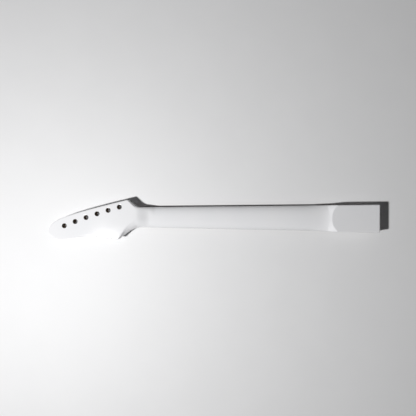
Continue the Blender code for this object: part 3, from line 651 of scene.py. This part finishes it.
def add_grain(material, shader, place, light, dark, mask, scales, relief, rough):
    """Puts the grain group into a material.

    The mask names the output that mixes dark and light. Scales are along, across and fine,
    relief is the bump's strength, distance and output, and rough is the roughness's range.
    """
    nodes, link = material.node_tree.nodes, material.node_tree.links.new
    grain = nodes.new("ShaderNodeGroup")
    grain.node_tree = grain_group()
    link(place, grain.inputs["Position"])
    for label, scale in zip(("Along", "Across", "Fine"), scales):
        grain.inputs[label].default_value = scale
    ramp = nodes.new("ShaderNodeValToRGB")
    for element, position, colour in zip(ramp.color_ramp.elements, (0.35, 0.68), (dark, light)):
        element.position = position
        element.color = (*colour, 1)
    link(grain.outputs[mask], ramp.inputs["Fac"])
    link(ramp.outputs["Color"], shader.inputs["Base Color"])
    strength, distance, height = relief
    bump = nodes.new("ShaderNodeBump")
    bump.inputs["Strength"].default_value = strength
    bump.inputs["Distance"].default_value = distance
    link(grain.outputs[height], bump.inputs["Height"])
    link(bump.outputs["Normal"], shader.inputs["Normal"])
    spread = nodes.new("ShaderNodeMapRange")
    spread.inputs["To Min"].default_value = rough[0]
    spread.inputs["To Max"].default_value = rough[1]
    link(grain.outputs["Mottle"], spread.inputs["Value"])
    link(spread.outputs["Result"], shader.inputs["Roughness"])


def paint_material():
    """White gloss paint: faint orange peel and a hint of warm and cool mottle."""
    white = np.array(settings().paint)
    material, shader, place = new_material("white_gloss_paint", white, 0.2)
    shader.inputs["Coat Weight"].default_value = 0.35
    shader.inputs["Coat Roughness"].default_value = 0.06
    add_grain(material, shader, place, white, white * (0.975, 0.98, 0.985), "Mottle",
              (20, 200, 260), (0.05, 0.0005, "Height"), (0.08, 0.15))
    return material


def rosewood_material():
    """Oiled rosewood: dark streaks along the neck and open pores."""
    brown = np.array(settings().rosewood)
    material, shader, place = new_material("rosewood", brown, 0.5)
    add_grain(material, shader, place, brown * 1.7, brown * 0.45, "Streaks",
              (18, 520, 1800), (0.35, 0.0002, "Streaks"), (0.38, 0.55))
    return material


def paper_material():
    """Matt white paper with the faintest mottle."""
    white = np.array(settings().paper)
    material, shader, place = new_material("paper", white, 0.7)
    add_grain(material, shader, place, white, white * 0.985, "Mottle",
              (30, 30, 500), (0.15, 0.0003, "Mottle"), (0.6, 0.75))
    return material


def plain_material(name, colour, roughness, metallic=0.0, contrast=0.9):
    """Machined or cut finish with fine scratches along the neck."""
    colour = np.array(colour)
    material, shader, place = new_material(name, colour, roughness, metallic)
    add_grain(material, shader, place, colour, colour * contrast, "Streaks",
              (60, 2500, 3000), (0.08, 0.0001, "Streaks"), (roughness * 0.8, roughness * 1.3))
    return material


class NECK_OT_blank(bpy.types.Operator):
    """Builds the painted headstock, shaft and heel as one skin"""
    bl_idname = "neck.blank"
    bl_label = "Painted neck"

    def execute(self, context):
        item = skin("painted_neck", neck_grid(), (False, True))
        cut_away(item, [hole_cutter(centre) for centre in tuner_centres()] + [slot_cutter()])
        # Brown far darker than bare maple: painted shade inside the tuner holes and the rod's
        # slot, over their bare wood.
        bare = plain_material("bare_wood_painted_shade", (0.20, 0.14, 0.09), 0.6)
        dress(item, "neck_blank", "neck_paint", paint_material(), bare)
        item.data.polygons.foreach_set("material_index", bare_and_shaded_faces(item.data).astype(np.int32))
        return {"FINISHED"}


class NECK_OT_fingerboard(bpy.types.Operator):
    """Builds the crowned fingerboard with its curved tail"""
    bl_idname = "neck.fingerboard"
    bl_label = "Fingerboard"

    def execute(self, context):
        turn = np.linspace(0, math.pi / 2, 16)
        tail = -BOARD_TAIL + BOARD_TAIL_CURVE * (1 - np.cos(turn))
        straight = np.linspace(0, END_X - BOARD_END_ROUND, 24)
        x = np.concatenate([tail, straight, [END_X]])
        drop = np.zeros(len(x))
        drop[:len(turn)] = BOARD_TAIL_DROP * (1 - np.sin(turn))
        inset = np.zeros(len(x))
        inset[-1] = BOARD_END_ROUND
        half = half_width(x) - inset
        angle = np.linspace(-1, 1, 49)[None] * np.arcsin(half / settings().board_radius)[:, None]
        face = crown(x[:, None], -inset[:, None], angle)
        face[..., 2] = np.minimum(face[..., 2] + drop[:, None], GLUE_Z - BOARD_TAIL_EDGE)
        back = [np.stack([x, side * half, 0 * x + GLUE_Z], axis=1) for side in (1, -1)]
        grid = np.concatenate([np.stack(back, axis=1), face], axis=1)
        item = skin("rosewood_board", grid, sharp=30)
        dress(item, "fingerboard", "fingerboard_wood", rosewood_material())
        return {"FINISHED"}


def fret_grid(x):
    """Rings of a fret: a half ellipse over a square foot, bent to the board's crown.

    The dome's width is w cos a and its rise h sin a, and h sinks to a quarter over the bevels.
    """
    end = half_width(x) - FRET_END_INSET
    middle = np.linspace(-end + FRET_BEVEL, end - FRET_BEVEL, 23)
    across = np.concatenate([-end + BEVEL_PLACES, middle, (end - BEVEL_PLACES)[::-1]])
    share = np.concatenate([BEVEL_SHARES, np.ones(len(middle)), BEVEL_SHARES[::-1]])
    angle = np.arcsin(across / settings().board_radius)[:, None]
    around = np.linspace(0, math.pi, 17)
    rise = FRET_FOOT + FRET_HEIGHT * (0.25 + 0.75 * share)[:, None] * np.sin(around)
    dome = crown(x - FRET_HALF_WIDTH * np.cos(around)[None], rise, angle)
    foot_x = x + TANG_HALF_WIDTH * np.array([[1, 1, -1, -1]])
    foot = crown(foot_x, TANG_DEPTH * np.array([[0.0, -1.0, -1.0, 0.0]]), angle)
    return np.concatenate([dome, foot], axis=1)


class NECK_OT_frets(bpy.types.Operator):
    """Builds the fret wires, bent to the crown, with bevelled ends"""
    bl_idname = "neck.frets"
    bl_label = "Frets"

    def execute(self, context):
        metal = plain_material("nickel_silver", (0.74, 0.73, 0.70), 0.2, 1.0)
        for number in range(1, settings().fret_count + 1):
            item = skin(f"fret_wire_{number:02d}", fret_grid(fret_x(number)), sharp=40)
            dress(item, f"fret_{number:02d}", "fret_wire", metal)
        return {"FINISHED"}


class NECK_OT_fittings(bpy.types.Operator):
    """Gives the nut, the dots and the truss rod their finishes"""
    bl_idname = "neck.fittings"
    bl_label = "Nut, dots and truss rod"

    def execute(self, context):
        bone = plain_material("polished_bone", (0.82, 0.77, 0.64), 0.32, 0.0, 0.94)
        pearl = plain_material("pearl", (0.86, 0.86, 0.83), 0.22, 0.0, 0.92)
        steel = plain_material("rod_steel", (0.42, 0.43, 0.45), 0.35, 1.0)
        brass = plain_material("block_brass", (0.75, 0.58, 0.28), 0.35, 1.0)
        finishes = {
            "nut": bone, "dot": pearl, "side": pearl, "truss": steel, "adjuster": steel,
            "front": brass, "anchor": brass,
        }
        for name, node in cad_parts.items():
            finish = finishes.get(name.split("_")[0])
            if finish:
                node.data.materials.clear()
                node.data.materials.append(finish)
        return {"FINISHED"}


class NECK_OT_stage(bpy.types.Operator):
    """Lays the paper, hangs the lamp and sets the camera"""
    bl_idname = "neck.stage"
    bl_label = "Stage"

    def execute(self, context):
        self.lay_paper(context.scene)
        self.hang_lamp(context.scene)
        self.light_room(context.scene)
        self.place_camera(context.scene)
        context.scene.view_settings.view_transform = "Standard"
        return {"FINISHED"}

    def lay_paper(self, scene):
        """Floor tilted to touch the nut and the last fret, as the neck rests on them."""
        last_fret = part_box("fret_24")[0]
        slope = (last_fret[2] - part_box("nut")[0][2]) / (last_fret[0] - NUT_X)
        corners = np.array([[-1, -1, 0], [1, -1, 0], [1, 1, 0], [-1, 1, 0]]) * FLOOR_REACH
        corners[:, 2] = FLOOR_Z + slope * (corners[:, 0] - NUT_X) - FLOOR_GAP
        mesh = bpy.data.meshes.new("paper")
        mesh.from_pydata(corners.tolist(), [], [(0, 1, 2, 3)])
        mesh.materials.append(paper_material())
        paper = bpy.data.objects.new("paper", mesh)
        scene.collection.objects.link(paper)

    def hang_lamp(self, scene):
        """Small lamp beyond the headstock, whose light fades more slowly than a bare bulb's."""
        lamp = bpy.data.lights.new("lamp", "POINT")
        lamp.shadow_soft_size = LAMP_RADIUS
        lamp.energy = 1.0
        lamp.use_nodes = True
        nodes, link = lamp.node_tree.nodes, lamp.node_tree.links.new
        falloff = nodes.new("ShaderNodeLightFalloff")
        falloff.inputs["Strength"].default_value = LAMP_STRENGTH
        mix = nodes.new("ShaderNodeMath")
        mix.operation = "MULTIPLY_ADD"
        mix.inputs[1].default_value = LAMP_FALL
        link(falloff.outputs["Linear"], mix.inputs[0])
        link(falloff.outputs["Constant"], mix.inputs[2])
        link(mix.outputs["Value"], nodes["Emission"].inputs["Strength"])
        holder = bpy.data.objects.new("lamp", lamp)
        holder.location = LAMP_PLACE
        scene.collection.objects.link(holder)

    def light_room(self, scene):
        """White where the camera or a reflection sees past the paper, and a faint fill."""
        world = bpy.data.worlds.new("room")
        world.use_nodes = True
        nodes, link = world.node_tree.nodes, world.node_tree.links.new
        path = nodes.new("ShaderNodeLightPath")
        shown = nodes.new("ShaderNodeMath")
        shown.operation = "MAXIMUM"
        link(path.outputs["Is Camera Ray"], shown.inputs[0])
        link(path.outputs["Is Glossy Ray"], shown.inputs[1])
        level = nodes.new("ShaderNodeMapRange")
        level.inputs["To Min"].default_value = FILL_STRENGTH
        level.inputs["To Max"].default_value = 1.0
        link(shown.outputs["Value"], level.inputs["Value"])
        back = nodes["Background"]
        back.inputs["Color"].default_value = (0.97, 0.98, 1.0, 1)
        link(level.outputs["Result"], back.inputs["Strength"])
        scene.world = world

    def place_camera(self, scene):
        """Camera straight above the neck, as in the photo."""
        lens = bpy.data.cameras.new("camera")
        lens.lens = LENS_MM
        lens.sensor_width = SENSOR_MM
        camera = bpy.data.objects.new("camera", lens)
        x, y, z = CAMERA_FROM_NUT
        camera.location = (NUT_X + x, y, z)
        camera.rotation_euler = (0, 0, math.radians(CAMERA_TURN))
        scene.collection.objects.link(camera)
        scene.camera = camera


class NECK_PT_panel(bpy.types.Panel):
    """Sidebar list of the neck's pieces"""
    bl_idname = "NECK_PT_panel"
    bl_label = "Guitar neck"
    bl_space_type = "VIEW_3D"
    bl_region_type = "UI"
    bl_category = "Guitar neck"

    def draw(self, context):
        for operator in OPERATORS:
            self.layout.operator(operator.bl_idname)
        for name in NeckSettings.__annotations__:
            self.layout.prop(context.scene.guitar_neck, name)


OPERATORS = (NECK_OT_blank, NECK_OT_fingerboard, NECK_OT_frets, NECK_OT_fittings, NECK_OT_stage)


def register():
    """Registers the classes and the scene's settings."""
    for item in (NeckSettings, *OPERATORS, NECK_PT_panel):
        bpy.utils.register_class(item)
    bpy.types.Scene.guitar_neck = bpy.props.PointerProperty(type=NeckSettings)


def unregister():
    """Takes the classes and the settings away."""
    del bpy.types.Scene.guitar_neck
    for item in (NECK_PT_panel, *reversed(OPERATORS), NeckSettings):
        bpy.utils.unregister_class(item)


def main():
    """Builds everything."""
    register()
    bpy.ops.neck.blank()
    bpy.ops.neck.fingerboard()
    bpy.ops.neck.frets()
    bpy.ops.neck.fittings()
    bpy.ops.neck.stage()


if __name__ == "__main__":
    main()
